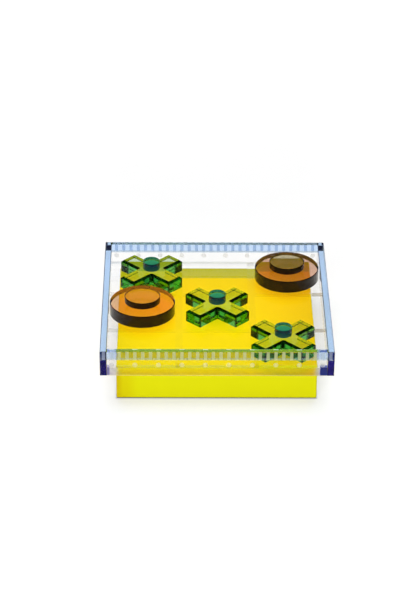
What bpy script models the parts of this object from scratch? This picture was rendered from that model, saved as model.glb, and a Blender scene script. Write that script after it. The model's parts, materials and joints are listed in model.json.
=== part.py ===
"""Tic tac toe set cut from tinted acrylic sheet.

A clear tray with a blue rim stands on a yellow plinth. Shallow grooves in its floor mark nine square
cells. Crosses and noughts, each with a grip knob, stand loose on the floor.
Metres, +Z up, origin at the centre of the plinth's underside, -Y towards the player.
"""

import math

import bmesh
import bpy
from mathutils import Matrix

# Playing pieces
NOUGHT_DIAMETER = 0.0635
NOUGHT_KNOB_DIAMETER = 0.0347
NOUGHT_KNOB_HEIGHT = 0.00635
CROSS_LENGTH = 0.0676
CROSS_ARM_WIDTH = 0.0190
CROSS_KNOB_DIAMETER = 0.0167
CROSS_KNOB_HEIGHT = 0.0082
PIECE_THICKNESS = 0.0127
NOUGHT_CHAMFER = 0.0007
CROSS_TOP_CHAMFER = 0.0021
CROSS_FOOT_CHAMFER = 0.0005
KNOB_CHAMFER = 0.0004

# Tray
CELL_PLAY = 0.0010
GRID_WIDTH = 0.0069
GRID_DEPTH = 0.0005
SHEET = 0.00635
FLOOR_THICKNESS = 0.00635
WALL_HEIGHT = 0.0165
RIM_HEIGHT = 0.0086
EDGE_CHAMFER = 0.0003

# Frosted ornament, cut into the outer face of the front and the back
BAR_COUNT = 30
BAR_WIDTH = 0.0031
BAR_DEPTH = 0.0005
DOT_COUNT = 10
DOT_DIAMETER = 0.0048
DOT_BELOW_RIM = 0.0050
DOT_DEPTH = 0.0005

# Plinth
PLINTH_INSET = 0.0150
PLINTH_HEIGHT = 0.0335
PLINTH_EDGE_RADIUS = 0.0012

# Gaps: the glue line of a bonded joint, and the air under a piece that stands loose
GLUE_LINE = 0.0003
LOOSE_GAP = 0.0003

# How far the players left each piece from the centre of its cell: rightwards (x) and backwards (y)
BACK_LEFT_CROSS_SHIFT_X = 0.0081
BACK_LEFT_CROSS_SHIFT_Y = -0.0054
CENTRE_CROSS_SHIFT_X = 0.0013
CENTRE_CROSS_SHIFT_Y = -0.0010
FRONT_RIGHT_CROSS_SHIFT_X = -0.0081
FRONT_RIGHT_CROSS_SHIFT_Y = 0.0063
MIDDLE_LEFT_NOUGHT_SHIFT_Y = -0.0010
BACK_RIGHT_NOUGHT_SHIFT_Y = -0.0018

# Where the pieces lie: cell (column, row), shift from its centre, turn in degrees.
# Columns run from -1 at the left to 1 at the right, rows from -1 at the player to 1 at the back.
CROSSES = {
    "cross_back_left": ((-1, 1), (BACK_LEFT_CROSS_SHIFT_X, BACK_LEFT_CROSS_SHIFT_Y), 0.2),
    "cross_centre": ((0, 0), (CENTRE_CROSS_SHIFT_X, CENTRE_CROSS_SHIFT_Y), 0.9),
    "cross_front_right": ((1, -1), (FRONT_RIGHT_CROSS_SHIFT_X, FRONT_RIGHT_CROSS_SHIFT_Y), -0.6),
}
NOUGHTS = {
    "nought_middle_left": ((-1, 0), (0.0, MIDDLE_LEFT_NOUGHT_SHIFT_Y)),
    "nought_back_right": ((1, 1), (0.0, BACK_RIGHT_NOUGHT_SHIFT_Y)),
}

# Facets of round outlines, and how far a cutter reaches past the face that it cuts
NOUGHT_SIDES = 72
NOUGHT_KNOB_SIDES = 56
CROSS_KNOB_SIDES = 40
DOT_SIDES = 20
PLINTH_EDGE_STEPS = 3
CUT_OVERRUN = 0.0010

# Below these a mesh counts as joined, or as flat
WELD_DISTANCE = 0.00001
FLAT_ANGLE = math.radians(1)

# Sizes and levels that follow from the values above
CELLS_PER_SIDE = 3
CELL = NOUGHT_DIAMETER + CELL_PLAY
CELL_PITCH = CELL + GRID_WIDTH
WELL = CELLS_PER_SIDE * CELL + (CELLS_PER_SIDE - 1) * GRID_WIDTH
BOARD = WELL + 2 * SHEET
WALL_CENTRE = (WELL + SHEET) / 2
BETWEEN_SIDES = WELL - 2 * GLUE_LINE
TRAY_BOTTOM = PLINTH_HEIGHT + GLUE_LINE
FLOOR_TOP = TRAY_BOTTOM + FLOOR_THICKNESS
WALL_TOP = TRAY_BOTTOM + WALL_HEIGHT
RIM_BOTTOM = WALL_TOP + GLUE_LINE
RIM_TOP = RIM_BOTTOM + RIM_HEIGHT
PIECE_BOTTOM = FLOOR_TOP + LOOSE_GAP

# Linear colour, roughness and how much light passes, for each tint of sheet
FINISHES = {
    "yellow_acrylic": ((0.83, 0.72, 0.010), 0.12, 0.15),
    "clear_acrylic": ((0.96, 0.97, 0.98), 0.03, 1.0),
    "blue_acrylic": ((0.55, 0.73, 0.92), 0.03, 1.0),
    "green_acrylic": ((0.10, 0.48, 0.09), 0.03, 1.0),
    "teal_acrylic": ((0.03, 0.22, 0.42), 0.03, 1.0),
    "amber_acrylic": ((0.62, 0.22, 0.035), 0.03, 1.0),
}
ACRYLIC_IOR = 1.49


def clear_scene():
    for obj in list(bpy.data.objects):
        bpy.data.objects.remove(obj, do_unlink=True)


def make_collection(name):
    collection = bpy.data.collections.new(name)
    bpy.context.scene.collection.children.link(collection)
    return collection


def make_material(name):
    colour, roughness, clarity = FINISHES[name]
    material = bpy.data.materials.new(name)
    material.use_nodes = True
    shader = material.node_tree.nodes["Principled BSDF"]
    shader.inputs["Base Color"].default_value = (*colour, 1.0)
    shader.inputs["Roughness"].default_value = roughness
    shader.inputs["Metallic"].default_value = 0.0
    shader.inputs["IOR"].default_value = ACRYLIC_IOR
    shader.inputs["Transmission Weight"].default_value = clarity
    return material


def box_mesh(name, size):
    """A closed box of the given size about its own centre."""
    mesh = bpy.data.meshes.new(name)
    shape = bmesh.new()
    bmesh.ops.create_cube(shape, size=1.0, matrix=Matrix.Diagonal((*size, 1.0)))
    shape.to_mesh(mesh)
    shape.free()
    return mesh


def disc_mesh(name, diameter, height, sides):
    """An upright closed cylinder that stands on its own origin."""
    mesh = bpy.data.meshes.new(name)
    shape = bmesh.new()
    bmesh.ops.create_cone(
        shape,
        cap_ends=True,
        segments=sides,
        radius1=diameter / 2,
        radius2=diameter / 2,
        depth=height,
        matrix=Matrix.Translation((0.0, 0.0, height / 2)),
    )
    shape.to_mesh(mesh)
    shape.free()
    mesh.shade_smooth()
    mesh.set_sharp_from_angle(angle=math.radians(30))
    return mesh


def cross_curve(name, length, arm_width, thickness):
    """A plain X of two equal bars at 45 degrees to the tray, about its own middle."""
    curve = bpy.data.curves.new(name, "CURVE")
    curve.dimensions = "2D"
    curve.fill_mode = "BOTH"
    curve.extrude = thickness / 2
    reach = length / 2
    half_width = arm_width / 2
    arm = ((reach, -half_width), (reach, half_width), (half_width, half_width))
    outline = []
    for quarter in range(4):
        angle = math.radians(45 + 90 * quarter)
        for along, across in arm:
            x = along * math.cos(angle) - across * math.sin(angle)
            y = along * math.sin(angle) + across * math.cos(angle)
            outline.append((x, y))
    spline = curve.splines.new("POLY")
    spline.points.add(len(outline) - 1)
    for point, (x, y) in zip(spline.points, outline):
        point.co = (x, y, 0.0, 1.0)
    spline.use_cyclic_u = True
    return curve


def closed_mesh(name, curve):
    """The solid that a filled curve makes, with its caps joined to its sides."""
    source = bpy.data.objects.new(name, curve)
    bpy.context.scene.collection.objects.link(source)
    bpy.context.view_layer.update()
    mesh = bpy.data.meshes.new_from_object(source.evaluated_get(bpy.context.evaluated_depsgraph_get()))
    bpy.data.objects.remove(source, do_unlink=True)
    shape = bmesh.new()
    shape.from_mesh(mesh)
    bmesh.ops.remove_doubles(shape, verts=shape.verts, dist=WELD_DISTANCE)
    bmesh.ops.dissolve_limit(shape, angle_limit=FLAT_ANGLE, verts=shape.verts, edges=shape.edges)
    shape.to_mesh(mesh)
    shape.free()
    return mesh


def chamfer_face(mesh, facing, width):
    """Breaks the edges round the face of a mesh that looks straight up (1) or straight down (-1)."""
    shape = bmesh.new()
    shape.from_mesh(mesh)
    shape.normal_update()
    flat = math.cos(FLAT_ANGLE)
    edges = {edge for face in shape.faces if face.normal.z * facing > flat for edge in face.edges}
    bmesh.ops.bevel(shape, geom=list(edges), offset=width, segments=1, profile=0.5, affect="EDGES")
    shape.to_mesh(mesh)
    shape.free()


def add_object(collection, name, data, location, material=None):
    obj = bpy.data.objects.new(name, data)
    obj.location = location
    if material is not None:
        data.materials.append(material)
    collection.objects.link(obj)
    return obj


def add_bevel(obj, width, segments=1):
    bevel = obj.modifiers.new("edge", "BEVEL")
    bevel.width = width
    bevel.segments = segments
    bevel.limit_method = "ANGLE"
    bevel.angle_limit = math.radians(40)


def add_array(obj, count, step):
    array = obj.modifiers.new("row", "ARRAY")
    array.count = count
    array.use_relative_offset = False
    array.use_constant_offset = True
    array.constant_offset_displace = step


def add_cut(obj, cutter):
    cut = obj.modifiers.new(cutter.name, "BOOLEAN")
    cut.operation = "DIFFERENCE"
    cut.solver = "EXACT"
    cut.object = cutter


def add_cutter(collection, name, mesh, location):
    cutter = add_object(collection, name, mesh, location)
    cutter.hide_render = True
    cutter.display_type = "WIRE"
    return cutter


def place_in_cell(cell, shift):
    column, row = cell
    return column * CELL_PITCH + shift[0], row * CELL_PITCH + shift[1]


def make_plinth(parts, material):
    side = BOARD - 2 * PLINTH_INSET
    mesh = box_mesh("plinth", (side, side, PLINTH_HEIGHT))
    plinth = add_object(parts, "plinth", mesh, (0.0, 0.0, PLINTH_HEIGHT / 2), material)
    add_bevel(plinth, PLINTH_EDGE_RADIUS, PLINTH_EDGE_STEPS)


def make_floor(parts, cutters, material):
    """The clear floor panel, with a groove between each row and each column of cells."""
    mesh = box_mesh("board_floor", (BETWEEN_SIDES, BETWEEN_SIDES, FLOOR_THICKNESS))
    floor = add_object(parts, "board_floor", mesh, (0.0, 0.0, FLOOR_TOP - FLOOR_THICKNESS / 2), material)
    add_bevel(floor, EDGE_CHAMFER)
    count = CELLS_PER_SIDE - 1
    first = -CELL_PITCH * (count - 1) / 2
    length = WELL + 2 * CUT_OVERRUN
    height = GRID_DEPTH + CUT_OVERRUN
    level = FLOOR_TOP - GRID_DEPTH + height / 2
    across_mesh = box_mesh("grooves_across", (length, GRID_WIDTH, height))
    across = add_cutter(cutters, "grooves_across", across_mesh, (0.0, first, level))
    add_array(across, count, (0.0, CELL_PITCH, 0.0))
    add_cut(floor, across)
    along_mesh = box_mesh("grooves_along", (GRID_WIDTH, length, height))
    along = add_cutter(cutters, "grooves_along", along_mesh, (first, 0.0, level))
    add_array(along, count, (CELL_PITCH, 0.0, 0.0))
    add_cut(floor, along)


def make_bar_cutter(cutters):
    """A row of upright bars along the front of the rim, and the same row along the back."""
    pitch = BOARD / BAR_COUNT
    depth = BAR_DEPTH + CUT_OVERRUN
    height = RIM_HEIGHT + 2 * CUT_OVERRUN
    front = BOARD / 2 - BAR_DEPTH + depth / 2
    mesh = box_mesh("frosted_bars", (BAR_WIDTH, depth, height))
    first = ((pitch - BOARD) / 2, -front, (RIM_BOTTOM + RIM_TOP) / 2)
    bars = add_cutter(cutters, "frosted_bars", mesh, first)
    add_array(bars, BAR_COUNT, (pitch, 0.0, 0.0))
    add_array(bars, 2, (0.0, 2 * front, 0.0))
    return bars


def make_dot_cutter(cutters):
    """A row of shallow round dimples along the front wall, and the same row along the back wall."""
    pitch = BOARD / DOT_COUNT
    depth = DOT_DEPTH + CUT_OVERRUN
    front = BOARD / 2 - DOT_DEPTH + depth / 2
    mesh = disc_mesh("frosted_dots", DOT_DIAMETER, depth, DOT_SIDES)
    mesh.transform(Matrix.Rotation(math.radians(90), 4, "X") @ Matrix.Translation((0.0, 0.0, -depth / 2)))
    first = ((pitch - BOARD) / 2, -front, WALL_TOP - DOT_BELOW_RIM)
    dots = add_cutter(cutters, "frosted_dots", mesh, first)
    add_array(dots, DOT_COUNT, (pitch, 0.0, 0.0))
    add_array(dots, 2, (0.0, 2 * front, 0.0))
    return dots


def make_border(parts, cutters, wall_material, rim_material):
    """Clear walls with blue rim strips on top. The side ones run the full depth of the tray."""
    bars = make_bar_cutter(cutters)
    dots = make_dot_cutter(cutters)
    between = (BETWEEN_SIDES, SHEET)
    full = (SHEET, BOARD)
    sides = {
        "front": (between, (0.0, -WALL_CENTRE)),
        "back": (between, (0.0, WALL_CENTRE)),
        "left": (full, (-WALL_CENTRE, 0.0)),
        "right": (full, (WALL_CENTRE, 0.0)),
    }
    for side, (footprint, place) in sides.items():
        wall_mesh = box_mesh(f"wall_{side}", (*footprint, WALL_HEIGHT))
        wall_level = TRAY_BOTTOM + WALL_HEIGHT / 2
        wall = add_object(parts, f"wall_{side}", wall_mesh, (*place, wall_level), wall_material)
        add_bevel(wall, EDGE_CHAMFER)
        if side in ("front", "back"):
            add_cut(wall, dots)
        rim_mesh = box_mesh(f"rim_{side}", (*footprint, RIM_HEIGHT))
        rim_level = RIM_BOTTOM + RIM_HEIGHT / 2
        rim = add_object(parts, f"rim_{side}", rim_mesh, (*place, rim_level), rim_material)
        add_bevel(rim, EDGE_CHAMFER)
        add_cut(rim, bars)


def make_cross(parts, name, body_material, knob_material):
    """An X with a round grip knob bonded on its middle."""
    cell, shift, turn = CROSSES[name]
    mesh = closed_mesh(name, cross_curve(name, CROSS_LENGTH, CROSS_ARM_WIDTH, PIECE_THICKNESS))
    chamfer_face(mesh, 1, CROSS_TOP_CHAMFER)
    chamfer_face(mesh, -1, CROSS_FOOT_CHAMFER)
    place = (*place_in_cell(cell, shift), PIECE_BOTTOM + PIECE_THICKNESS / 2)
    body = add_object(parts, name, mesh, place, body_material)
    body.rotation_euler.z = math.radians(turn)
    knob_mesh = disc_mesh(f"{name}_knob", CROSS_KNOB_DIAMETER, CROSS_KNOB_HEIGHT, CROSS_KNOB_SIDES)
    seat = (0.0, 0.0, PIECE_THICKNESS / 2 + GLUE_LINE)
    knob = add_object(parts, f"{name}_knob", knob_mesh, seat, knob_material)
    add_bevel(knob, KNOB_CHAMFER)
    knob.parent = body


def make_nought(parts, name, material):
    """A thick disc with a smaller disc bonded on top as its grip."""
    cell, shift = NOUGHTS[name]
    mesh = disc_mesh(name, NOUGHT_DIAMETER, PIECE_THICKNESS, NOUGHT_SIDES)
    body = add_object(parts, name, mesh, (*place_in_cell(cell, shift), PIECE_BOTTOM), material)
    add_bevel(body, NOUGHT_CHAMFER)
    knob_mesh = disc_mesh(f"{name}_knob", NOUGHT_KNOB_DIAMETER, NOUGHT_KNOB_HEIGHT, NOUGHT_KNOB_SIDES)
    knob = add_object(parts, f"{name}_knob", knob_mesh, (0.0, 0.0, PIECE_THICKNESS + GLUE_LINE), material)
    add_bevel(knob, KNOB_CHAMFER)
    knob.parent = body


def main():
    clear_scene()
    parts = make_collection("tic_tac_toe_set")
    cutters = make_collection("cutters")
    finish = {name: make_material(name) for name in FINISHES}
    make_plinth(parts, finish["yellow_acrylic"])
    make_floor(parts, cutters, finish["clear_acrylic"])
    make_border(parts, cutters, finish["clear_acrylic"], finish["blue_acrylic"])
    for name in CROSSES:
        make_cross(parts, name, finish["green_acrylic"], finish["teal_acrylic"])
    for name in NOUGHTS:
        make_nought(parts, name, finish["amber_acrylic"])


main()
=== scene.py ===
"""Looks of the tic tac toe set: polished tinted acrylic, frosted ornament, and a plain white studio."""

import json
import math

import bmesh
import bpy
from mathutils import Matrix, Vector


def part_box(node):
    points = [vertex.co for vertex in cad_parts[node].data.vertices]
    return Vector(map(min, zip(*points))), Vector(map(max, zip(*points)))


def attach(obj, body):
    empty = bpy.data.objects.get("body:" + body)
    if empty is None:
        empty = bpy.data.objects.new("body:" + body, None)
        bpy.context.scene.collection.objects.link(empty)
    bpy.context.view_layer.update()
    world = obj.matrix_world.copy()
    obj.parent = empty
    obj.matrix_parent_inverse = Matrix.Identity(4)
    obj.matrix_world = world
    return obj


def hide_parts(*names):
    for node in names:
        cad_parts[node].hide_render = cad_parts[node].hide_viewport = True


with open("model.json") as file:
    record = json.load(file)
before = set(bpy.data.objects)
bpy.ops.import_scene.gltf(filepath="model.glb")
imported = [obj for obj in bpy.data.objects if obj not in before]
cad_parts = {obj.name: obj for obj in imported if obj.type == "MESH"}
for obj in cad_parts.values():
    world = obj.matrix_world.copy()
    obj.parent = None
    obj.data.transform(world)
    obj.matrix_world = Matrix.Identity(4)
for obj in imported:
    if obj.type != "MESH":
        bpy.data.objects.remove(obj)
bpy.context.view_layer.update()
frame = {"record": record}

MM = 0.001
WHITE = (1.0, 1.0, 1.0)

# How near a face a point has to be to lie on it, and how near two corners have to be to become one
ON_FACE = 0.01 * MM
WELD = 0.001 * MM

# How far a glued face reaches into its neighbour, so that light passes the joint as through clear cement
BOND = 0.04 * MM

# Edges of the sheet, the plinth and the playing pieces
SHEET_EDGE = 0.12 * MM
RIM_EDGE = 0.55 * MM
RIM_FOOT = 0.06 * MM
PLINTH_EDGE = 1.2 * MM
PLINTH_EDGE_STEPS = 5
NOUGHT_EDGE = 0.7 * MM
CROSS_EDGE = 2.1 * MM
CROSS_FOOT = 0.5 * MM
KNOB_EDGE = 0.4 * MM
ROUND_SIDES = 160
SMOOTH_ANGLE = math.radians(30)

# Shape of a cross, which follows its solid, but for sides that fall away a little towards the outer corners
CROSS_ARM_WIDTH = 19.0 * MM
CROSS_LENGTH = 67.6 * MM
CROSS_CORNER = 1.5 * MM
CROSS_CORNER_SLOPE = 0.06
CROSS_NOTCH = 0.3 * MM
NOTCH_STEPS = 4
CROSS_TURNS = {"cross_back_left": 0.2, "cross_centre": 0.9, "cross_front_right": -0.6}

# Layer of glue under the knob of a cross
GLUE_MARGIN = 0.8 * MM
GLUE_THICKNESS = 0.08 * MM
GLUE_COLOUR = (0.45, 0.80, 0.28)
GLUE_CLARITY = 0.35
GLUE_ROUGHNESS = (0.40, 0.60)
GLUE_GRAIN = 300.0

# Grooves of the board, with their tint over the plinth, and painted shade past it, darker still past its
# right side
GRID_WIDTH = 6.9 * MM
GRID_DEPTH = 0.5 * MM
CELL_PITCH = 71.4 * MM
GROOVE_COLOUR = (0.93, 0.95, 0.80)
GROOVE_SHADE_PAST_PLINTH = (0.74, 0.73, 0.70)
GROOVE_SHADE_AT_RIGHT = (0.42, 0.37, 0.28)
GROOVE_ROUGHNESS = (0.12, 0.16)
GROOVE_GRAIN = 400.0

# Frosted ornament on the front and the back
BAR_COUNT = 30
BAR_WIDTH = 3.1 * MM
BAR_DEPTH = 0.5 * MM
DOT_COUNT = 10
DOT_DIAMETER = 4.8 * MM
DOT_DEPTH = 0.2 * MM
DOT_BELOW_RIM = 5.0 * MM
DOT_SIDES = 40
# The dashes are painted reflections of the dots, laid on the front rim's top
DASH_WIDTH = 5.0 * MM
DASH_DEPTH = 1.3 * MM
DASH_FROM_EDGE = 0.65 * MM
DASH_THICKNESS = 0.12 * MM
DASH_EDGE = DASH_THICKNESS / 4

# Films of the ornament, with the tint and the clearness of each; the looks of bars and dots go by their
# place, and over the plinth they are painted with the plinth's yellow light
FILM_GAP = 0.02 * MM
FILM_EDGE = 0.05 * MM
FILM_IOR = 1.15
FILM_ROUGHNESS = (0.40, 0.60)
FILM_GRAIN = 500.0
FILMS = {
    "bar": ((0.80, 0.83, 0.52), 0.66),
    "bar_back": ((0.76, 0.83, 0.93), 0.78),
    "bar_pale": ((0.86, 0.92, 0.97), 0.85),
    "dot": ((0.99, 0.97, 0.60), 0.76),
    "dot_back": ((0.93, 0.92, 0.91), 0.84),
    "dot_pale": ((0.90, 0.89, 0.87), 0.82),
    "dot_reflection": ((0.72, 0.78, 0.80), 0.35),
}
BACK_FILM = 1
PALE_FILM = 2

# Opaque ends of the side walls and side rims, just under the polish: mottled navy in front, and slate at the
# back that is painted shade
END_DEPTH = 0.05 * MM
END_THICKNESS = 0.10 * MM
END_EDGE = END_THICKNESS / 4
END_MARGIN = 0.40 * MM
END_ROUGHNESS = (0.3, 0.5)
END_GRAIN = 200.0
DEEP_NAVY = (0.010, 0.010, 0.085)
LIGHT_NAVY = (0.030, 0.020, 0.240)
NAVY_SPREAD = (0.35, 0.65)
NAVY_SCALE = 120.0
NAVY_DETAIL = 2.0
SLATE_SHADE = (0.030, 0.030, 0.060)

# Foot of the front wall: a painted glint along its lower edge, painted shade on the foot and on the joint
# with the floor panel, and painted blue reflections at its corners
# A painted glint along the lowest edge of the outer face
GLINT_EDGE = 0.5 * MM
GLINT_COLOUR = (0.98, 0.92, 0.62)
GLINT_CLARITY = 0.45
# Painted shade on the foot and on the joint
FOOT_HEIGHT = 4.0 * MM
FOOT_SHADE_COLOUR = (0.76, 0.72, 0.50)
FOOT_SHADE_PAST_PLINTH = (0.82, 0.78, 0.86)
FOOT_ROUGHNESS = 0.30
JOINT_HEIGHT = 8.8 * MM
JOINT_SHADE_COLOUR = (0.83, 0.87, 0.78)
JOINT_SHADE_PAST_PLINTH = (0.88, 0.87, 0.89)
# Painted blue reflections at the lower corners
CORNER_HEIGHT = 9.3 * MM
LEFT_CORNER_WIDTH = 2.4 * MM
LEFT_CORNER_REFLECTION = (0.30, 0.29, 0.60)
RIGHT_CORNER_WIDTH = 6.6 * MM
RIGHT_CORNER_REFLECTION = (0.035, 0.055, 0.33)

# Matt underside of the back wall
UNDERSIDE_COLOUR = (0.96, 0.97, 0.97)
UNDERSIDE_CLARITY = 0.1

# Colours of the plinth: its sides, with painted shading at their left end, its rounded edges, its top, with a
# painted olive shade along its back edge, and painted contact shade on its lowest edge
LEMON = (0.965, 0.94, 0.006)
# The darker, warmer left end of the plinth's sides is painted shading
WARM_LEMON = (0.80, 0.62, 0.004)
WARMED_LEMON = (0.91, 0.80, 0.004)
WARM_END = 22.0 * MM
WARMED_SHARE = 0.35
ROUNDED_LEMON = (0.94, 0.84, 0.004)
TOP_FRONT = (0.90, 0.74, 0.002)
TOP_BACK = (0.90, 0.65, 0.008)
TOP_RIGHT = (0.90, 0.56, 0.004)
TOP_RIGHT_FROM = 20.0 * MM
TOP_RIGHT_SHARE = 0.75
# The olive along the back edge of the plinth's top is painted shade
OLIVE_SHADE = (0.51, 0.48, 0.010)
OLIVE_SHADE_FROM = 73.7 * MM
OLIVE_SHADE_STEP = 0.002
# Painted contact shade on the faces that look down
CONTACT_SHADE = (0.20, 0.17, 0.05)

# How far up a face of the plinth looks, from -1 to 1, where each of its colours ends or begins
CONTACT_SHADE_UP_TO = -0.2
ROUNDED_FROM = 0.1
TOP_FROM = 0.9

# Surface of the plinth
PLINTH_SHINE = 0.02
PLINTH_ROUGHNESS = (0.08, 0.18)
PLINTH_GRAIN = 40.0
RIPPLE_SCALE = 30.0
RIPPLE_DETAIL = 3.0
RIPPLE_STRENGTH = 0.02
RIPPLE_DEPTH = 1.0 * MM

# Polished sheet, and the handling marks that all faces have
ACRYLIC_IOR = 1.49
SHINE = (0.22, 0.22, 0.22, 1.0)
CLEAR_SHINE = (0.06, 0.06, 0.06, 1.0)
CLEAR_COLOUR = (0.985, 0.98, 0.975)
POLISH_ROUGHNESS = (0.0, 0.006)
POLISH_GRAIN = 60.0
MARKS_SPREAD = (0.35, 0.70)
MARKS_DETAIL = 6.0

# Absorption per millimetre of sheet, for red, green and blue light
BLUE_TINT = (0.064, 0.034, 0.003)
GREEN_TINT = (0.019, 0.003, 0.030)
TEAL_TINT = (0.135, 0.052, 0.028)
AMBER_TINT = (0.005, 0.033, 0.066)
AMBER_KNOB_TINT = (0.018, 0.0, 0.030)
# The back nought's deeper amber is painted shade on the same sheet
SHADED_AMBER_TINT = (0.018, 0.046, 0.066)
SHADED_AMBER_KNOB_TINT = (0.038, 0.0, 0.020)

# What the faces of a tinted piece pass: upright sides, broken edges and level faces; the darker sides and
# edges are painted shade
BLUE_FACES = ((0.905, 0.885, 0.985), (0.10, 0.12, 0.40), WHITE)
BLUE_FRONT_FACES = ((0.905, 0.92, 0.985), (0.60, 0.66, 0.88), WHITE)
# Over the plinth the front rim's faces are painted with shade, greener on its level faces
BLUE_SHADE_OVER_PLINTH_FACES = ((0.81, 0.735, 0.77), (0.60, 0.66, 0.60), (0.69, 0.92, 0.48))
BLUE_BACK_FACES = ((0.90, 0.93, 0.985), WHITE, WHITE)
# On its outer part the back rim is painted with shade: a darker top and near-black edges
BLUE_BACK_OUTER_SHADE_FACES = ((0.90, 0.93, 0.985), (0.03, 0.03, 0.05), (0.55, 0.575, 0.52))
BACK_OUTER_FROM = 1.5 * MM
GREEN_FACES = ((0.14, 0.45, 0.15), (0.010, 0.024, 0.014), (0.925, 0.875, 0.93))
TEAL_FACES = ((0.015, 0.055, 0.080), (0.40, 0.60, 0.70), WHITE)
AMBER_FACES = ((0.033, 0.021, 0.008), (0.30, 0.26, 0.22), WHITE)
AMBER_KNOB_FACES = ((0.030, 0.018, 0.007), (0.30, 0.26, 0.22), WHITE)

# How clear the cut sides of the knobs and discs are, where the rest shows their painted dark shade
TEAL_CLARITY = 0.5
AMBER_CLARITY = 0.35

# How level a broken edge and a level face are at least, from 0 to 1, and how far a corner is off a diagonal
EDGE_FROM = 0.3
LEVEL_FROM = 0.95
OFF_DIAGONAL = 0.06

# Studio floor: its glow is least round one spot, since the lamps light it most, and ends at the plinth's foot
FLOOR_REACH = 12.0
FLOOR_CELLS = 4
FLOOR_DROP = 0.2 * MM
FLOOR_COLOUR = (0.50, 0.50, 0.50)
GLOW_CENTRE = (0.0, 0.4, 0.0)
GLOW_REACH = (0.10, 1.00)
GLOW_LEVELS = (0.42, 0.70)
CONTACT_SHADOW = 1.6 * MM

# Light: the level all round, the backdrop by direction, and the soft lamps
AMBIENT = 0.10
BACKDROP_RISE = (0.35, 0.75)
BACKDROP_LEVELS = (-0.06, 0.80)
UNSCATTERED = 0.5
LAMP_TARGET = Vector((0.0, 0.0, 0.0))
LAMPS = {
    "overhead": {"place": (0.0, 0.75, 1.55), "width": 1.4, "depth": 1.2, "power": 28.0},
    "front": {"place": (-0.5, -2.6, 1.3), "width": 1.8, "depth": 1.4, "power": 55.0},
}
BOUNCES = 48
GLOSSY_BOUNCES = 24
TRANSPARENT_BOUNCES = 32

# Camera, as found for the photograph
IMAGE_HEIGHT = 610
SENSOR = 36.0
FOCAL_PIXELS = 2555.01
CAMERA_NEAR = 0.1
CAMERA_PLACE = Vector((-0.035905, -2.169423, 1.265304))
CAMERA_YAW = math.radians(-0.67018)
CAMERA_PITCH = math.radians(29.2925)
CAMERA_ROLL = math.radians(0.44814)


def new_material(name):
    material = bpy.data.materials.new(name)
    material.use_nodes = True
    tree = material.node_tree
    tree.nodes.clear()
    output = tree.nodes.new("ShaderNodeOutputMaterial")
    return material, tree, output


def add_math(tree, operation, first, second):
    """One operation on two values, each of them a socket or a number."""
    node = tree.nodes.new("ShaderNodeMath")
    node.operation = operation
    for socket, value in zip(node.inputs, (first, second)):
        if isinstance(value, float):
            socket.default_value = value
        else:
            tree.links.new(value, socket)
    return node.outputs["Value"]


def add_range(tree, value, source, target):
    """A value carried from its source range to a target range, and held at its ends."""
    node = tree.nodes.new("ShaderNodeMapRange")
    node.inputs["From Min"].default_value, node.inputs["From Max"].default_value = source
    node.inputs["To Min"].default_value, node.inputs["To Max"].default_value = target
    tree.links.new(value, node.inputs["Value"])
    return node.outputs["Result"]


def add_ramp(tree, value, stops, interpolation="CONSTANT"):
    """A colour looked up along the stops, each of them a position and a colour."""
    node = tree.nodes.new("ShaderNodeValToRGB")
    node.color_ramp.interpolation = interpolation
    tones = node.color_ramp.elements
    tones.remove(tones[1])
    tones[0].position = stops[0][0]
    tones[0].color = (*stops[0][1], 1.0)
    for position, colour in stops[1:]:
        tones.new(position).color = (*colour, 1.0)
    tree.links.new(value, node.inputs["Fac"])
    return node.outputs["Color"]


def mix_colours(tree, factor, first, second):
    """One of two colours, each of them a socket or three numbers."""
    node = tree.nodes.new("ShaderNodeMix")
    node.data_type = "RGBA"
    tree.links.new(factor, node.inputs["Factor"])
    sockets = [one for one in node.inputs if one.type == "RGBA"]
    for socket, colour in zip(sockets, (first, second)):
        if isinstance(colour, tuple):
            socket.default_value = (*colour, 1.0)
        else:
            tree.links.new(colour, socket)
    return next(one for one in node.outputs if one.type == "RGBA")


def split_axes(tree, vector):
    axes = tree.nodes.new("ShaderNodeSeparateXYZ")
    tree.links.new(vector, axes.inputs["Vector"])
    return axes.outputs


def object_axes(tree):
    """The place on the object, axis by axis."""
    place = tree.nodes.new("ShaderNodeTexCoord")
    return split_axes(tree, place.outputs["Object"])


def facing_axes(tree):
    """How far a face looks along each axis, from -1 to 1."""
    surface = tree.nodes.new("ShaderNodeNewGeometry")
    return split_axes(tree, surface.outputs["True Normal"])


def face_axes(tree):
    """How far a face looks along each axis either way, from 0 to 1."""
    surface = tree.nodes.new("ShaderNodeNewGeometry")
    size = tree.nodes.new("ShaderNodeVectorMath")
    size.operation = "ABSOLUTE"
    tree.links.new(surface.outputs["True Normal"], size.inputs[0])
    return split_axes(tree, size.outputs["Vector"])


def from_middle(tree, axes):
    """How far a place lies from the tray's middle, along the farther of the two level axes."""
    across = add_math(tree, "ABSOLUTE", axes["X"], 0.0)
    along = add_math(tree, "ABSOLUTE", axes["Y"], 0.0)
    return add_math(tree, "MAXIMUM", across, along)


def add_noise(tree, scale, detail):
    """Noise laid out in the object's own coordinates."""
    place = tree.nodes.new("ShaderNodeTexCoord")
    noise = tree.nodes.new("ShaderNodeTexNoise")
    noise.inputs["Scale"].default_value = scale
    noise.inputs["Detail"].default_value = detail
    tree.links.new(place.outputs["Object"], noise.inputs["Vector"])
    return noise.outputs["Fac"]


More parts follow.
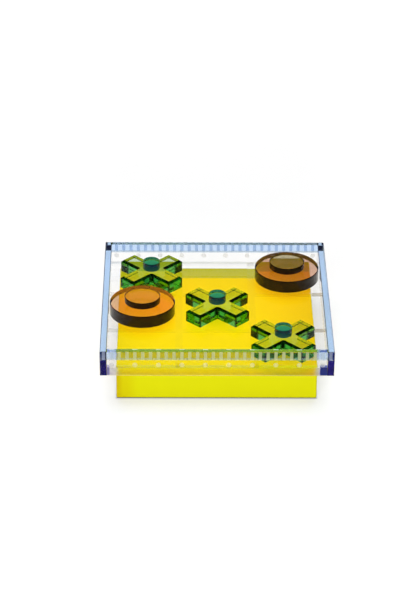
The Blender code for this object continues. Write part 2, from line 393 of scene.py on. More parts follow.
def add_surface(tree, colour, clarity, roughness, grain):
    """Acrylic with handling marks: patches that are a little less smooth than the rest."""
    shader = tree.nodes.new("ShaderNodeBsdfPrincipled")
    shader.inputs["Base Color"].default_value = (*colour, 1.0)
    shader.inputs["IOR"].default_value = ACRYLIC_IOR
    shader.inputs["Transmission Weight"].default_value = clarity
    shader.inputs["Roughness"].default_value = sum(roughness) / 2
    marks = add_range(tree, add_noise(tree, grain, MARKS_DETAIL), MARKS_SPREAD, roughness)
    tree.links.new(marks, shader.inputs["Roughness"])
    return shader


def add_ripples(tree, shader):
    """The slight waviness of a cast block."""
    bump = tree.nodes.new("ShaderNodeBump")
    bump.inputs["Strength"].default_value = RIPPLE_STRENGTH
    bump.inputs["Distance"].default_value = RIPPLE_DEPTH
    tree.links.new(add_noise(tree, RIPPLE_SCALE, RIPPLE_DETAIL), bump.inputs["Height"])
    tree.links.new(bump.outputs["Normal"], shader.inputs["Normal"])


def let_light_through(tree, shader, output):
    """Shadow rays pass the surface, so what lies behind the sheet stays lit."""
    path = tree.nodes.new("ShaderNodeLightPath")
    passing = tree.nodes.new("ShaderNodeBsdfTransparent")
    mix = tree.nodes.new("ShaderNodeMixShader")
    tree.links.new(path.outputs["Is Shadow Ray"], mix.inputs["Fac"])
    tree.links.new(shader.outputs["BSDF"], mix.inputs[1])
    tree.links.new(passing.outputs["BSDF"], mix.inputs[2])
    tree.links.new(mix.outputs["Shader"], output.inputs["Surface"])


def add_tint(tree, output, per_millimetre):
    """Colour all through the sheet: the longer the way through it, the deeper the colour."""
    strongest = max(per_millimetre)
    volume = tree.nodes.new("ShaderNodeVolumeAbsorption")
    kept = [1.0 - amount / strongest for amount in per_millimetre]
    volume.inputs["Color"].default_value = (*kept, 1.0)
    volume.inputs["Density"].default_value = strongest / MM
    tree.links.new(volume.outputs["Volume"], output.inputs["Volume"])


def colour_by_lie(tree, faces):
    """A colour by how a face lies: upright, on a broken edge, or level."""
    side, edge, level = faces
    return add_ramp(tree, face_axes(tree)["Z"], ((0.0, side), (EDGE_FROM, edge), (LEVEL_FROM, level)))


def find_corners(tree):
    """1 on the faces of a cross that lie off its diagonals, such as its outer corners."""
    axes = face_axes(tree)
    off = add_math(tree, "ABSOLUTE", add_math(tree, "SUBTRACT", axes["X"], axes["Y"]), 0.0)
    return add_math(tree, "GREATER_THAN", off, OFF_DIAGONAL)


def over_plinth(tree):
    """1 on the stretch of the tray's front that is as wide as the plinth."""
    away = add_math(tree, "ABSOLUTE", object_axes(tree)["X"], 0.0)
    return add_math(tree, "LESS_THAN", away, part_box("plinth")[1].x)


def far_from_player(tree):
    """1 on the outer part of the back rim."""
    outer_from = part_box("rim_back")[0].y + BACK_OUTER_FROM
    return add_math(tree, "GREATER_THAN", object_axes(tree)["Y"], outer_from)


def shade_foot(tree, shader):
    """The foot of the front wall: matt and painted with shade up to the floor panel, painted blue reflections
    at its corners, and a painted glint along its lowest edge.
    """
    low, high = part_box("wall_front")
    tall = high.z - low.z
    axes = object_axes(tree)
    height = add_range(tree, axes["Z"], (low.z, high.z), (0.0, 1.0))
    foot_top = FOOT_HEIGHT / tall
    joint_top = JOINT_HEIGHT / tall
    # The foot and the joint are tinted with painted shade, over the plinth and past it
    zones = [
        add_ramp(tree, height, ((0.0, foot), (foot_top, joint), (joint_top, CLEAR_COLOUR)))
        for foot, joint in ((FOOT_SHADE_PAST_PLINTH, JOINT_SHADE_PAST_PLINTH), (FOOT_SHADE_COLOUR, JOINT_SHADE_COLOUR))
    ]
    colour = mix_colours(tree, over_plinth(tree), *zones)
    low_down = add_math(tree, "LESS_THAN", axes["Z"], low.z + CORNER_HEIGHT)
    at_left = add_math(tree, "LESS_THAN", axes["X"], low.x + LEFT_CORNER_WIDTH)
    at_right = add_math(tree, "GREATER_THAN", axes["X"], high.x - RIGHT_CORNER_WIDTH)
    # The blue corners are painted reflections
    for beside, corner in ((at_left, LEFT_CORNER_REFLECTION), (at_right, RIGHT_CORNER_REFLECTION)):
        colour = mix_colours(tree, add_math(tree, "MULTIPLY", beside, low_down), colour, corner)
    # The lowest strip of the outer face is a painted glint: pale and partly matt
    outside = add_math(tree, "LESS_THAN", axes["Y"], low.y + ON_FACE)
    lowest = add_math(tree, "LESS_THAN", axes["Z"], low.z + GLINT_EDGE)
    glint = add_math(tree, "MULTIPLY", outside, lowest)
    colour = mix_colours(tree, glint, colour, GLINT_COLOUR)
    tree.links.new(colour, shader.inputs["Base Color"])
    clarity = add_range(tree, glint, (0.0, 1.0), (1.0, GLINT_CLARITY))
    tree.links.new(clarity, shader.inputs["Transmission Weight"])
    below_joint = add_math(tree, "LESS_THAN", axes["Z"], low.z + JOINT_HEIGHT)
    matt = add_math(tree, "MULTIPLY", add_math(tree, "MULTIPLY", outside, below_joint), FOOT_ROUGHNESS)
    marks = shader.inputs["Roughness"].links[0].from_socket
    tree.links.new(add_math(tree, "MAXIMUM", marks, matt), shader.inputs["Roughness"])


def shade_underside(tree, shader):
    """The back wall's underside is left matt, so light that runs down the wall ends on a pale face."""
    low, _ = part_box("wall_back")
    under = add_math(tree, "LESS_THAN", object_axes(tree)["Z"], low.z + ON_FACE)
    colour = mix_colours(tree, under, CLEAR_COLOUR, UNDERSIDE_COLOUR)
    tree.links.new(colour, shader.inputs["Base Color"])
    clarity = add_range(tree, under, (0.0, 1.0), (1.0, UNDERSIDE_CLARITY))
    tree.links.new(clarity, shader.inputs["Transmission Weight"])


def make_clear(name, shade=None):
    """Polished clear sheet, with the shading of its lower part where it has any."""
    material, tree, output = new_material(name)
    shader = add_surface(tree, CLEAR_COLOUR, 1.0, POLISH_ROUGHNESS, POLISH_GRAIN)
    shader.inputs["Specular Tint"].default_value = CLEAR_SHINE
    if shade:
        shade(tree, shader)
    let_light_through(tree, shader, output)
    return material


def make_tinted(
    name, tint, faces, side_clarity=1.0, dark_corners=False, find_stretch=None, stretch_faces=None
):
    """Polished sheet that is tinted in its depth, with painted shade darkening its sides and edges."""
    material, tree, output = new_material(name)
    shader = add_surface(tree, WHITE, 1.0, POLISH_ROUGHNESS, POLISH_GRAIN)
    shader.inputs["Specular Tint"].default_value = SHINE
    colour = colour_by_lie(tree, faces)
    if dark_corners:
        # Corners of a cross off its diagonals are painted dark like its edges, as shade
        colour = mix_colours(tree, find_corners(tree), colour, faces[1])
    # A stretch of a rim takes other painted face colours: shade over the plinth in front, and on the back
    # rim's outer part
    if find_stretch:
        colour = mix_colours(tree, find_stretch(tree), colour, colour_by_lie(tree, stretch_faces))
    tree.links.new(colour, shader.inputs["Base Color"])
    if side_clarity < 1.0:
        upright = add_math(tree, "LESS_THAN", face_axes(tree)["Z"], EDGE_FROM)
        clarity = add_range(tree, upright, (0.0, 1.0), (1.0, side_clarity))
        tree.links.new(clarity, shader.inputs["Transmission Weight"])
    let_light_through(tree, shader, output)
    add_tint(tree, output, tint)
    return material


def make_groove(name):
    """The etched face of a groove in clear sheet, with painted shade where it reaches past the plinth, darker
    still past its right side.
    """
    material, tree, output = new_material(name)
    shader = add_surface(tree, GROOVE_COLOUR, 1.0, GROOVE_ROUGHNESS, GROOVE_GRAIN)
    axes = object_axes(tree)
    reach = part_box("plinth")[1].x
    past = add_math(tree, "GREATER_THAN", from_middle(tree, axes), reach)
    at_right = add_math(tree, "GREATER_THAN", axes["X"], reach)
    # Past the plinth the groove is painted with shade, darker still at the right
    colour = mix_colours(tree, past, GROOVE_COLOUR, GROOVE_SHADE_PAST_PLINTH)
    colour = mix_colours(tree, at_right, colour, GROOVE_SHADE_AT_RIGHT)
    tree.links.new(colour, shader.inputs["Base Color"])
    let_light_through(tree, shader, output)
    return material


def make_film(name, colour, clarity):
    """Etched ornament: a thin whitish skin that scatters light and lets much of it through."""
    material, tree, output = new_material(name)
    shader = add_surface(tree, colour, clarity, FILM_ROUGHNESS, FILM_GRAIN)
    shader.inputs["IOR"].default_value = FILM_IOR
    let_light_through(tree, shader, output)
    return material


def make_glue(name):
    """The glue under a grip knob, which scatters light."""
    material, tree, output = new_material(name)
    shader = add_surface(tree, GLUE_COLOUR, GLUE_CLARITY, GLUE_ROUGHNESS, GLUE_GRAIN)
    let_light_through(tree, shader, output)
    return material


def plinth_top(tree, axes, low, high):
    """The top of the plinth: warmer to the right and the back, with a painted olive shade along its back
    edge.
    """
    along = add_range(tree, axes["Y"], (low.y, high.y), (0.0, 1.0))
    shade_start = (OLIVE_SHADE_FROM - low.y) / (high.y - low.y)
    # From the olive's start back to the edge, the top is painted with olive shade
    tones = ((0.0, TOP_FRONT), (shade_start, TOP_BACK), (shade_start + OLIVE_SHADE_STEP, OLIVE_SHADE))
    top = add_ramp(tree, along, tones, "LINEAR")
    rightwards = add_range(tree, axes["X"], (TOP_RIGHT_FROM, high.x), (0.0, TOP_RIGHT_SHARE))
    before_shade = add_math(tree, "LESS_THAN", axes["Y"], OLIVE_SHADE_FROM)
    return mix_colours(tree, add_math(tree, "MULTIPLY", rightwards, before_shade), top, TOP_RIGHT)


def plinth_side(tree, axes, low):
    """The sides of the plinth: lemon, with painted shading that makes the left end darker and warmer."""
    across = add_range(tree, axes["X"], (low.x, low.x + WARM_END), (0.0, 1.0))
    tones = ((0.0, WARM_LEMON), (WARMED_SHARE, WARMED_LEMON), (1.0, LEMON))
    return add_ramp(tree, across, tones, "EASE")


def make_yellow(name):
    """Solid yellow acrylic: a warm top, lemon sides, and a dark line of painted contact shade where it
    stands.
    """
    material, tree, output = new_material(name)
    shader = add_surface(tree, LEMON, 0.0, PLINTH_ROUGHNESS, PLINTH_GRAIN)
    shader.inputs["Specular IOR Level"].default_value = PLINTH_SHINE
    low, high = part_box("plinth")
    axes = object_axes(tree)
    upwards = facing_axes(tree)["Z"]
    rounded = add_math(tree, "GREATER_THAN", upwards, ROUNDED_FROM)
    colour = mix_colours(tree, rounded, plinth_side(tree, axes, low), ROUNDED_LEMON)
    level = add_math(tree, "GREATER_THAN", upwards, TOP_FROM)
    colour = mix_colours(tree, level, colour, plinth_top(tree, axes, low, high))
    # Faces that look down are painted dark as contact shade
    under = add_math(tree, "LESS_THAN", upwards, CONTACT_SHADE_UP_TO)
    colour = mix_colours(tree, under, colour, CONTACT_SHADE)
    tree.links.new(colour, shader.inputs["Base Color"])
    add_ripples(tree, shader)
    tree.links.new(shader.outputs["BSDF"], output.inputs["Surface"])
    return material


def make_end_paint(name):
    """Ends of the side walls and rims: navy at the front of the tray, painted slate shade at its back."""
    material, tree, output = new_material(name)
    shader = add_surface(tree, DEEP_NAVY, 0.0, END_ROUGHNESS, END_GRAIN)
    shader.inputs["Specular IOR Level"].default_value = 0.0
    tones = tuple(zip(NAVY_SPREAD, (DEEP_NAVY, LIGHT_NAVY)))
    navy = add_ramp(tree, add_noise(tree, NAVY_SCALE, NAVY_DETAIL), tones, "LINEAR")
    # The back ends are painted slate shade
    behind = add_math(tree, "GREATER_THAN", object_axes(tree)["Y"], 0.0)
    tree.links.new(mix_colours(tree, behind, navy, SLATE_SHADE), shader.inputs["Base Color"])
    tree.links.new(shader.outputs["BSDF"], output.inputs["Surface"])
    return material


def not_scattered(tree, path):
    """1 on a ray that has met no matt face."""
    return add_math(tree, "LESS_THAN", path["Diffuse Depth"], UNSCATTERED)


def make_studio_white(name):
    """The pale floor: white to the eye, with the object's shadow kept."""
    material, tree, output = new_material(name)
    matte = tree.nodes.new("ShaderNodeBsdfDiffuse")
    matte.inputs["Color"].default_value = (*FLOOR_COLOUR, 1.0)
    path = tree.nodes.new("ShaderNodeLightPath").outputs
    seen = add_math(tree, "MAXIMUM", path["Is Camera Ray"], path["Is Glossy Ray"])
    seen = add_math(tree, "MAXIMUM", seen, path["Is Transmission Ray"])
    place = tree.nodes.new("ShaderNodeTexCoord")
    away = tree.nodes.new("ShaderNodeVectorMath")
    away.operation = "DISTANCE"
    away.inputs[1].default_value = GLOW_CENTRE
    tree.links.new(place.outputs["Object"], away.inputs[0])
    fade = add_range(tree, away.outputs["Value"], GLOW_REACH, GLOW_LEVELS)
    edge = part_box("plinth")[1].x
    reach = from_middle(tree, object_axes(tree))
    open_floor = add_range(tree, reach, (edge - PLINTH_EDGE, edge + CONTACT_SHADOW), (0.0, 1.0))
    level = seen
    for share in (not_scattered(tree, path), fade, open_floor):
        level = add_math(tree, "MULTIPLY", level, share)
    glow = tree.nodes.new("ShaderNodeEmission")
    glow.inputs["Color"].default_value = (*WHITE, 1.0)
    tree.links.new(level, glow.inputs["Strength"])
    both = tree.nodes.new("ShaderNodeAddShader")
    tree.links.new(matte.outputs["BSDF"], both.inputs[0])
    tree.links.new(glow.outputs["Emission"], both.inputs[1])
    tree.links.new(both.outputs["Shader"], output.inputs["Surface"])
    return material


def add_piece(name, shape, materials, body, slot, *nodes):
    """A finished mesh as a piece of the object, in place of the CAD nodes that it stands for."""
    bmesh.ops.recalc_face_normals(shape, faces=shape.faces)
    mesh = bpy.data.meshes.new(name)
    shape.to_mesh(mesh)
    shape.free()
    for material in materials:
        mesh.materials.append(material)
    piece = bpy.data.objects.new(name, mesh)
    bpy.context.scene.collection.objects.link(piece)
    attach(piece, body)
    if nodes:
        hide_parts(*nodes)
    return piece


def add_block(shape, low, high, edge, steps=1):
    """A box from corner to corner with its edges broken."""
    middle = (low + high) / 2
    size = high - low
    placed = Matrix.Translation(middle) @ Matrix.Diagonal((*size, 1.0))
    made = bmesh.ops.create_cube(shape, size=1.0, matrix=placed)
    edges = {one for vertex in made["verts"] for one in vertex.link_edges}
    bmesh.ops.bevel(shape, geom=list(edges), offset=edge, segments=steps, profile=0.5, affect="EDGES")


def add_stack(shape, rings):
    """A closed solid through rings of points, from the lowest ring to the highest."""
    layers = [[shape.verts.new(point) for point in ring] for ring in rings]
    count = len(layers[0])
    for lower, upper in zip(layers, layers[1:]):
        for index in range(count):
            after = (index + 1) % count
            shape.faces.new((lower[index], lower[after], upper[after], upper[index]))
    shape.faces.new(list(reversed(layers[0])))
    shape.faces.new(layers[-1])


def circle(centre, radius, height, sides):
    points = []
    for index in range(sides):
        angle = 2 * math.pi * index / sides
        points.append((centre.x + radius * math.cos(angle), centre.y + radius * math.sin(angle), height))
    return points


def edge_profile(bottom, top, edge, foot=None):
    """How far each ring is drawn in, and its height, for a solid with broken edges."""
    foot = edge if foot is None else foot
    return ((foot, bottom), (0.0, bottom + foot), (0.0, top - edge), (edge, top))


def cross_ring(centre, turn, inset, height):
    """The outline of a cross drawn in by the inset, its sides falling away a little towards the corners."""
    half = CROSS_ARM_WIDTH / 2 - inset
    reach = CROSS_LENGTH / 2 - inset
    fall = CROSS_CORNER * CROSS_CORNER_SLOPE
    tip = [(reach, half - CROSS_CORNER), (reach - fall, half - fall), (reach - CROSS_CORNER, half)]
    arm = [(along, -across) for along, across in reversed(tip)] + tip
    middle = CROSS_ARM_WIDTH / 2 + CROSS_NOTCH
    for step in range(NOTCH_STEPS + 1):
        angle = math.radians(270 - 90 * step / NOTCH_STEPS)
        radius = CROSS_NOTCH + inset
        arm.append((middle + radius * math.cos(angle), middle + radius * math.sin(angle)))
    points = []
    for quarter in range(4):
        spin = turn + math.radians(45 + 90 * quarter)
        for along, across in arm:
            points.append((
                centre.x + along * math.cos(spin) - across * math.sin(spin),
                centre.y + along * math.sin(spin) + across * math.cos(spin),
                height,
            ))
    return points


def glued(node, **reach):
    """A node's box, with the named faces carried over their glue line into the neighbour."""
    low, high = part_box(node)
    low = low.copy()
    high = high.copy()
    for face, other in reach.items():
        axis = "xyz".index(face[-1])
        other_low, other_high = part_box(other)
        if face.startswith("low"):
            low[axis] = other_high[axis] - BOND
        else:
            high[axis] = other_low[axis] + BOND
    return low, high


def ornament_places(count, low, high):
    """The middles of marks that are evenly spaced along the tray's width, as far as they lie in a box."""
    left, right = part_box("rim_left")[0].x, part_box("rim_right")[1].x
    pitch = (right - left) / count
    places = [left + pitch * (index + 0.5) for index in range(count)]
    return [x for x in places if low.x < x < high.x]


def make_plinth(finish):
    low, high = glued("plinth", high_z="board_floor")
    shape = bmesh.new()
    add_block(shape, low, high, PLINTH_EDGE, PLINTH_EDGE_STEPS)
    piece = add_piece("yellow_plinth", shape, [finish["yellow"]], "tray", "yellow_acrylic", "plinth")
    piece.data.shade_smooth()
    weigh = piece.modifiers.new("flat faces", "WEIGHTED_NORMAL")
    weigh.keep_sharp = True


def lay_top(shape, low, high, sunk):
    """The level faces of the floor panel: its cells, and the grooves between them."""
    lines = [side * CELL_PITCH / 2 + edge * GRID_WIDTH / 2 for side in (-1, 1) for edge in (-1, 1)]
    xs = [low.x, *lines, high.x]
    ys = [low.y, *lines, high.y]
    tops = {}
    for column in range(len(xs) - 1):
        for row in range(len(ys) - 1):
            grooved = column % 2 == 1 or row % 2 == 1
            level = sunk if grooved else high.z
            face = []
            for i, j in ((column, row), (column + 1, row), (column + 1, row + 1), (column, row + 1)):
                key = (i, j, level)
                if key not in tops:
                    tops[key] = shape.verts.new((xs[i], ys[j], level))
                face.append(tops[key])
            shape.faces.new(face).material_index = int(grooved)


def find_vertex(shape, x, y, level):
    """The corner at a place, made if there is none yet."""
    for vertex in shape.verts:
        if abs(vertex.co.x - x) + abs(vertex.co.y - y) + abs(vertex.co.z - level) < ON_FACE:
            return vertex
    return shape.verts.new((x, y, level))


def on_outside(vertex, low, high):
    """Whether a corner of the floor panel lies on one of its four upright sides."""
    gaps = [abs(vertex.co[axis] - end[axis]) for axis in (0, 1) for end in (low, high)]
    return min(gaps) < ON_FACE


def stand_groove_sides(shape, low, high, sunk):
    """The upright faces between the cells and the grooves."""
    for edge in [one for one in shape.edges if one.is_boundary]:
        first, second = edge.verts
        outermost = on_outside(first, low, high) and on_outside(second, low, high)
        if not outermost and abs(first.co.z - high.z) < ON_FACE:
            below = [find_vertex(shape, v.co.x, v.co.y, sunk) for v in (second, first)]
            shape.faces.new((first, second, *below)).material_index = 1


def order_steps(upper, other):
    """Walks a stepped edge, so that two corners at one place follow the level they come from."""
    ordered = []
    index = 0
    level = upper[0].co.z
    while index < len(upper):
        start = getattr(upper[index].co, other)
        here = [v for v in upper if abs(getattr(v.co, other) - start) < ON_FACE]
        here.sort(key=lambda v: abs(v.co.z - level))
        ordered += here
        level = here[-1].co.z
        index += len(here)
    return ordered


def close_sides(shape, low, high):
    """The four upright sides, from the underside to the stepped top edge."""
    sides = (("x", low.x), ("x", high.x), ("y", low.y), ("y", high.y))
    for axis, value in sides:
        other = "y" if axis == "x" else "x"
        on_side = [v for v in shape.verts if abs(getattr(v.co, axis) - value) < ON_FACE]
        upper = [v for v in on_side if v.co.z > low.z + ON_FACE]
        lower = [v for v in on_side if v.co.z <= low.z + ON_FACE]
        upper.sort(key=lambda v: getattr(v.co, other))
        lower.sort(key=lambda v: -getattr(v.co, other))
        shape.faces.new(order_steps(upper, other) + lower)


def make_floor(finish):
    """The clear floor panel, with etched grooves between the cells."""
    low, high = glued(
        "board_floor", low_x="wall_left", high_x="wall_right", low_y="wall_front", high_y="wall_back"
    )
    sunk = high.z - GRID_DEPTH
    shape = bmesh.new()
    lay_top(shape, low, high, sunk)
    stand_groove_sides(shape, low, high, sunk)
    corners = ((low.x, low.y), (high.x, low.y), (high.x, high.y), (low.x, high.y))
    shape.faces.new([shape.verts.new((x, y, low.z)) for x, y in corners])
    close_sides(shape, low, high)
    bmesh.ops.remove_doubles(shape, verts=shape.verts, dist=WELD)
    looks = [finish["clear"], finish["groove"]]
    add_piece("floor_panel", shape, looks, "tray", "clear_acrylic", "board_floor")


def add_loose(name, shape):
    """A passing object, for a cut."""
    mesh = bpy.data.meshes.new(name)
    shape.to_mesh(mesh)
    shape.free()
    obj = bpy.data.objects.new(name, mesh)
    bpy.context.scene.collection.objects.link(obj)
    return obj


def cut_dimples(shape, places, outer, level):
    """Round dimples along the outer face of a wall."""
    dimples = bmesh.new()
    radius = DOT_DIAMETER / 2
    for x in places:
        placed = Matrix.Translation((x, outer, level)) @ Matrix.Rotation(math.pi / 2, 4, "X")
        bmesh.ops.create_cone(
            dimples, cap_ends=True, segments=DOT_SIDES, radius1=radius, radius2=radius,
            depth=2 * DOT_DEPTH, matrix=placed,
        )
    wall = add_loose("wall", shape)
    cutter = add_loose("dimples", dimples)
    cut = wall.modifiers.new("dimples", "BOOLEAN")
    cut.operation = "DIFFERENCE"
    cut.solver = "EXACT"
    cut.object = cutter
    bpy.context.view_layer.update()
    evaluated = wall.evaluated_get(bpy.context.evaluated_depsgraph_get())
    carved = bmesh.new()
    carved.from_mesh(evaluated.to_mesh())
    for obj in (wall, cutter):
        bpy.data.objects.remove(obj)
    return carved


def add_dot(films, x, level, outer, inward):
    """A thin etched disc that fills a dimple."""
    radius = DOT_DIAMETER / 2 - FILM_GAP
    rings = []
    for inset, depth in edge_profile(FILM_GAP, DOT_DEPTH - FILM_GAP, FILM_EDGE):
        upright = circle(Vector((x, level)), radius - inset, outer + inward * depth, DOT_SIDES)
        rings.append([(across, away, high) for across, high, away in upright])
    add_stack(films, rings)


def add_films(name, films, kind, slot, finish):
    """Films take one look over the plinth, with its yellow light painted in, another at the back of the tray,
    and a third past the plinth.
    """
    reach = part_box("plinth")[1].x
    for face in films.faces:
        middle = face.calc_center_median()
        if middle.y > 0:
            face.material_index = BACK_FILM
        elif abs(middle.x) > reach:
            face.material_index = PALE_FILM
    looks = [finish[kind], finish[f"{kind}_back"], finish[f"{kind}_pale"]]
    add_piece(name, films, looks, "tray", slot)


def make_walls(finish):
    films = bmesh.new()
    for side in ("front", "back"):
        low, high = glued(f"wall_{side}", low_x="wall_left", high_x="wall_right", high_z=f"rim_{side}")
        outer, inward = (low.y, 1.0) if side == "front" else (high.y, -1.0)
        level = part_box(f"wall_{side}")[1].z - DOT_BELOW_RIM
        places = ornament_places(DOT_COUNT, low, high)
        shape = bmesh.new()
        add_block(shape, low, high, SHEET_EDGE)
        shape = cut_dimples(shape, places, outer, level)
        looks = [finish[f"wall_{side}"]]
        add_piece(f"clear_wall_{side}", shape, looks, "tray", "clear_acrylic", f"wall_{side}")
        for x in places:
            add_dot(films, x, level, outer, inward)
    add_films("frosted_dots", films, "dot", "clear_acrylic", finish)
    for side in ("left", "right"):
        low, high = glued(f"wall_{side}", high_z=f"rim_{side}")
        shape = bmesh.new()
        add_block(shape, low, high, SHEET_EDGE)
        add_piece(f"clear_wall_{side}", shape, [finish["clear"]], "tray", "clear_acrylic", f"wall_{side}")


def rim_outline(low, high, slots_front, slots_back):
    """A strip seen from above, with a slot for each frosted bar on its front or its back."""
    half = BAR_WIDTH / 2
    places = ornament_places(BAR_COUNT, low, high)
    points = [(low.x, low.y)]
    if slots_front:
        inner = low.y + BAR_DEPTH
        for x in places:
            points += [(x - half, low.y), (x - half, inner), (x + half, inner), (x + half, low.y)]
    points += [(high.x, low.y), (high.x, high.y)]
    if slots_back:
        inner = high.y - BAR_DEPTH
        for x in reversed(places):
            points += [(x + half, high.y), (x + half, inner), (x - half, inner), (x - half, high.y)]
    points.append((low.x, high.y))
    return points


def draw_in(outline, inset, height):
    """The outline of a square-cornered shape moved inwards on all sides."""
    ring = []
    count = len(outline)
    for index, point in enumerate(outline):
        here = Vector(point)
        before = (here - Vector(outline[index - 1])).normalized()
        after = (Vector(outline[(index + 1) % count]) - here).normalized()
        shift = Vector((-before.y - after.y, before.x + after.x)) * inset
        ring.append((here.x + shift.x, here.y + shift.y, height))
    return ring


def make_rims(finish):
    for side in ("front", "back", "left", "right"):
        if side in ("front", "back"):
            low, high = glued(f"rim_{side}", low_x="rim_left", high_x="rim_right")
        else:
            low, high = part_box(f"rim_{side}")
        outline = rim_outline(low, high, side != "back", side != "front")
        shape = bmesh.new()
        profile = edge_profile(low.z, high.z, RIM_EDGE, RIM_FOOT)
        add_stack(shape, [draw_in(outline, inset, height) for inset, height in profile])
        tint = finish.get(f"blue_{side}", finish["blue"])
        add_piece(f"blue_rim_{side}", shape, [tint], "tray", "blue_acrylic", f"rim_{side}")


def make_bars(finish):
    """The films that fill the slots of the rim, in front and at the back."""
    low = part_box("rim_left")[0]
    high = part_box("rim_right")[1]
    half = BAR_WIDTH / 2 - FILM_GAP
    films = bmesh.new()
    for x in ornament_places(BAR_COUNT, low, high):
        for outer, inward in ((low.y, 1.0), (high.y, -1.0)):
            ends = (outer + inward * FILM_GAP, outer + inward * (BAR_DEPTH - FILM_GAP))
            corner = Vector((x - half, min(ends), low.z + FILM_GAP))
            opposite = Vector((x + half, max(ends), high.z - FILM_GAP))
            add_block(films, corner, opposite, FILM_EDGE)
    add_films("frosted_bars", films, "bar", "blue_acrylic", finish)


def make_dot_reflections(finish):
    """Painted reflections of the dots: pale marks on the front rim, at the inner edge of its top, one over
    each dot.
    """
    low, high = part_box("rim_front")
    far = high.y - DASH_FROM_EDGE
    top = high.z - FILM_GAP
    shape = bmesh.new()
    for x in ornament_places(DOT_COUNT, low, high):
        corner = Vector((x - DASH_WIDTH / 2, far - DASH_DEPTH, top - DASH_THICKNESS))
        opposite = Vector((x + DASH_WIDTH / 2, far, top))
        add_block(shape, corner, opposite, DASH_EDGE)
    add_piece("painted_dot_reflections", shape, [finish["dot_reflection"]], "tray", "blue_acrylic")


def make_ends(finish):
    """Opaque ends under the polish: both ends of each side wall, and the back end of each side rim; those at
    the back carry painted shade.
    """
    shape = bmesh.new()
    margin = Vector((END_MARGIN, 0.0, END_MARGIN))
    for side in ("left", "right"):
        for node, at_front in ((f"wall_{side}", True), (f"wall_{side}", False), (f"rim_{side}", False)):
            low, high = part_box(node)
            if at_front:
                near, far = low.y + END_DEPTH, low.y + END_DEPTH + END_THICKNESS
            else:
                near, far = high.y - END_DEPTH - END_THICKNESS, high.y - END_DEPTH
            corner = Vector((low.x, near, low.z)) + margin
            opposite = Vector((high.x, far, high.z)) - margin
            add_block(shape, corner, opposite, END_EDGE)
    add_piece("wall_ends", shape, [finish["end"]], "tray", "blue_acrylic")


def make_disc(title, node, bottom, edge, look, body, slot):
    """A round piece with broken edges, as wide as its node and up to its top."""
    low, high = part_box(node)
    middle = (low + high) / 2
    radius = (high.x - low.x) / 2
    shape = bmesh.new()
    profile = edge_profile(bottom, high.z, edge)
    add_stack(shape, [circle(middle, radius - inset, height, ROUND_SIDES) for inset, height in profile])
    piece = add_piece(title, shape, [look], body, slot, node)
    piece.data.shade_smooth()
    piece.data.set_sharp_from_angle(angle=SMOOTH_ANGLE)


def make_cross(name, body, finish):
    """A green cross, its teal knob, and the glue between them."""
    low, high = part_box(name)
    centre = (low + high) / 2
    turn = math.radians(CROSS_TURNS[name])
    profile = edge_profile(low.z, high.z, CROSS_EDGE, CROSS_FOOT)
    shape = bmesh.new()
    add_stack(shape, [cross_ring(centre, turn, inset, height) for inset, height in profile])
    add_piece(f"green_{name}", shape, [finish["green"]], body, "green_acrylic", name)
    knob = f"{name}_knob"
    make_disc(f"teal_{knob}", knob, high.z - BOND, KNOB_EDGE, finish["teal"], body, "teal_acrylic")
    knob_low, knob_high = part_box(knob)
    middle = (knob_low + knob_high) / 2
    spread = (knob_high.x - knob_low.x) / 2 - GLUE_MARGIN
    layers = (
        (GLUE_THICKNESS, high.z),
        (0.0, high.z + GLUE_THICKNESS / 2),
        (GLUE_THICKNESS, high.z + GLUE_THICKNESS),
    )
    shape = bmesh.new()
    add_stack(shape, [circle(middle, spread - inset, height, ROUND_SIDES) for inset, height in layers])
    add_piece(f"{name}_bond", shape, [finish["glue"]], body, "teal_acrylic")


def make_nought(name, body, finish):
    """An amber disc and the smaller disc on it."""
    low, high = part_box(name)
    # The nought at the back gets a deeper amber as painted shade
    amber = "deep_amber" if low.y > 0 else "amber"
    make_disc(f"amber_{name}", name, low.z, NOUGHT_EDGE, finish[amber], body, "amber_acrylic")
    knob = f"{name}_knob"
    look = finish[f"{amber}_knob"]
    make_disc(f"amber_{knob}", knob, high.z - BOND, KNOB_EDGE, look, body, "amber_acrylic")


def make_stage():
    mesh = bpy.data.meshes.new("studio_floor")
    shape = bmesh.new()
    bmesh.ops.create_grid(shape, x_segments=FLOOR_CELLS, y_segments=FLOOR_CELLS, size=FLOOR_REACH)
    shape.to_mesh(mesh)
    shape.free()
    mesh.materials.append(make_studio_white("studio_white"))
    floor = bpy.data.objects.new("studio_floor", mesh)
    floor.location.z = -FLOOR_DROP
    bpy.context.scene.collection.objects.link(floor)


def make_lights():
    """Soft lamps, which light the object but aren't mirrored in it or seen through it."""
    for name, setting in LAMPS.items():
        data = bpy.data.lights.new(name, "AREA")
        data.shape = "RECTANGLE"
        data.size = setting["width"]
        data.size_y = setting["depth"]
        data.energy = setting["power"]
        lamp = bpy.data.objects.new(name, data)
        lamp.location = setting["place"]
        aim = LAMP_TARGET - Vector(setting["place"])
        lamp.rotation_euler = aim.to_track_quat("-Z", "Y").to_euler()
        lamp.visible_transmission = False
        lamp.visible_glossy = False
        bpy.context.scene.collection.objects.link(lamp)


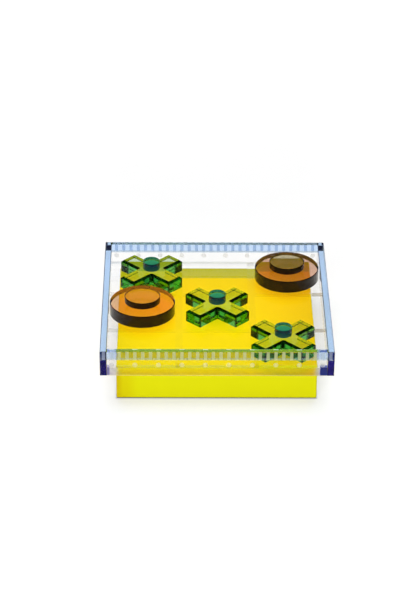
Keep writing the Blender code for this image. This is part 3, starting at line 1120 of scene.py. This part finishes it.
def make_world():
    """Even light from all round, and a backdrop for light that comes through the sheets."""
    world = bpy.data.worlds.new("studio")
    world.use_nodes = True
    tree = world.node_tree
    back = tree.nodes["Background"]
    back.inputs["Color"].default_value = (*WHITE, 1.0)
    path = tree.nodes.new("ShaderNodeLightPath").outputs
    through = add_math(tree, "MULTIPLY", path["Is Transmission Ray"], not_scattered(tree, path))
    place = tree.nodes.new("ShaderNodeTexCoord")
    axes = split_axes(tree, place.outputs["Generated"])
    backdrop = add_range(tree, axes["Y"], BACKDROP_RISE, BACKDROP_LEVELS)
    level = add_math(tree, "ADD", add_math(tree, "MULTIPLY", through, backdrop), AMBIENT)
    tree.links.new(level, back.inputs["Strength"])
    bpy.context.scene.world = world


def make_camera():
    data = bpy.data.cameras.new("view")
    data.sensor_fit = "VERTICAL"
    data.sensor_height = SENSOR
    data.lens = SENSOR * FOCAL_PIXELS / IMAGE_HEIGHT
    data.clip_start = CAMERA_NEAR
    camera = bpy.data.objects.new("view", data)
    right = Vector((math.cos(CAMERA_YAW), math.sin(CAMERA_YAW), 0.0))
    ahead = Vector((-math.sin(CAMERA_YAW), math.cos(CAMERA_YAW), 0.0))
    up = Vector((0.0, 0.0, 1.0))
    look = ahead * math.cos(CAMERA_PITCH) - up * math.sin(CAMERA_PITCH)
    rise = ahead * math.sin(CAMERA_PITCH) + up * math.cos(CAMERA_PITCH)
    side = right * math.cos(CAMERA_ROLL) + rise * math.sin(CAMERA_ROLL)
    top = rise * math.cos(CAMERA_ROLL) - right * math.sin(CAMERA_ROLL)
    turn = Matrix((side, top, -look)).transposed()
    camera.matrix_world = Matrix.Translation(CAMERA_PLACE) @ turn.to_4x4()
    bpy.context.scene.collection.objects.link(camera)
    bpy.context.scene.camera = camera


def make_finishes():
    """Every material of the object, by a short name."""
    finish = {
        "clear": make_clear("clear_acrylic_polished"),
        "wall_front": make_clear("clear_acrylic_front_wall", shade_foot),
        "wall_back": make_clear("clear_acrylic_back_wall", shade_underside),
        "blue": make_tinted("blue_acrylic_polished", BLUE_TINT, BLUE_FACES),
        "blue_front": make_tinted(
            "blue_acrylic_front", BLUE_TINT, BLUE_FRONT_FACES,
            find_stretch=over_plinth, stretch_faces=BLUE_SHADE_OVER_PLINTH_FACES,
        ),
        "blue_back": make_tinted(
            "blue_acrylic_back", BLUE_TINT, BLUE_BACK_FACES,
            find_stretch=far_from_player, stretch_faces=BLUE_BACK_OUTER_SHADE_FACES,
        ),
        "green": make_tinted("green_acrylic_polished", GREEN_TINT, GREEN_FACES, dark_corners=True),
        "teal": make_tinted("teal_acrylic_polished", TEAL_TINT, TEAL_FACES, TEAL_CLARITY),
        "amber": make_tinted("amber_acrylic_polished", AMBER_TINT, AMBER_FACES, AMBER_CLARITY),
        "amber_knob": make_tinted("amber_acrylic_knob", AMBER_KNOB_TINT, AMBER_KNOB_FACES, AMBER_CLARITY),
        "deep_amber": make_tinted("shaded_amber_acrylic", SHADED_AMBER_TINT, AMBER_FACES, AMBER_CLARITY),
        "deep_amber_knob": make_tinted(
            "deep_amber_acrylic_knob", SHADED_AMBER_KNOB_TINT, AMBER_KNOB_FACES, AMBER_CLARITY
        ),
        "yellow": make_yellow("yellow_acrylic_block"),
        "groove": make_groove("frosted_groove"),
        "glue": make_glue("knob_bond"),
        "end": make_end_paint("end_paint"),
    }
    for name, look in FILMS.items():
        finish[name] = make_film(f"frosted_{name}", *look)
    return finish


def main():
    make_camera()
    finish = make_finishes()
    make_plinth(finish)
    make_floor(finish)
    make_walls(finish)
    make_rims(finish)
    make_bars(finish)
    make_dot_reflections(finish)
    make_ends(finish)
    bodies = frame["record"]["behaviour"]["bodies"]
    for body, nodes in bodies.items():
        for node in nodes:
            if node in CROSS_TURNS:
                make_cross(node, body, finish)
            elif node.startswith("nought") and not node.endswith("knob"):
                make_nought(node, body, finish)
    make_stage()
    make_lights()
    make_world()
    scene = bpy.context.scene
    scene.view_settings.view_transform = "Standard"
    scene.cycles.max_bounces = BOUNCES
    scene.cycles.transmission_bounces = BOUNCES
    scene.cycles.glossy_bounces = GLOSSY_BOUNCES
    scene.cycles.transparent_max_bounces = TRANSPARENT_BOUNCES


main()
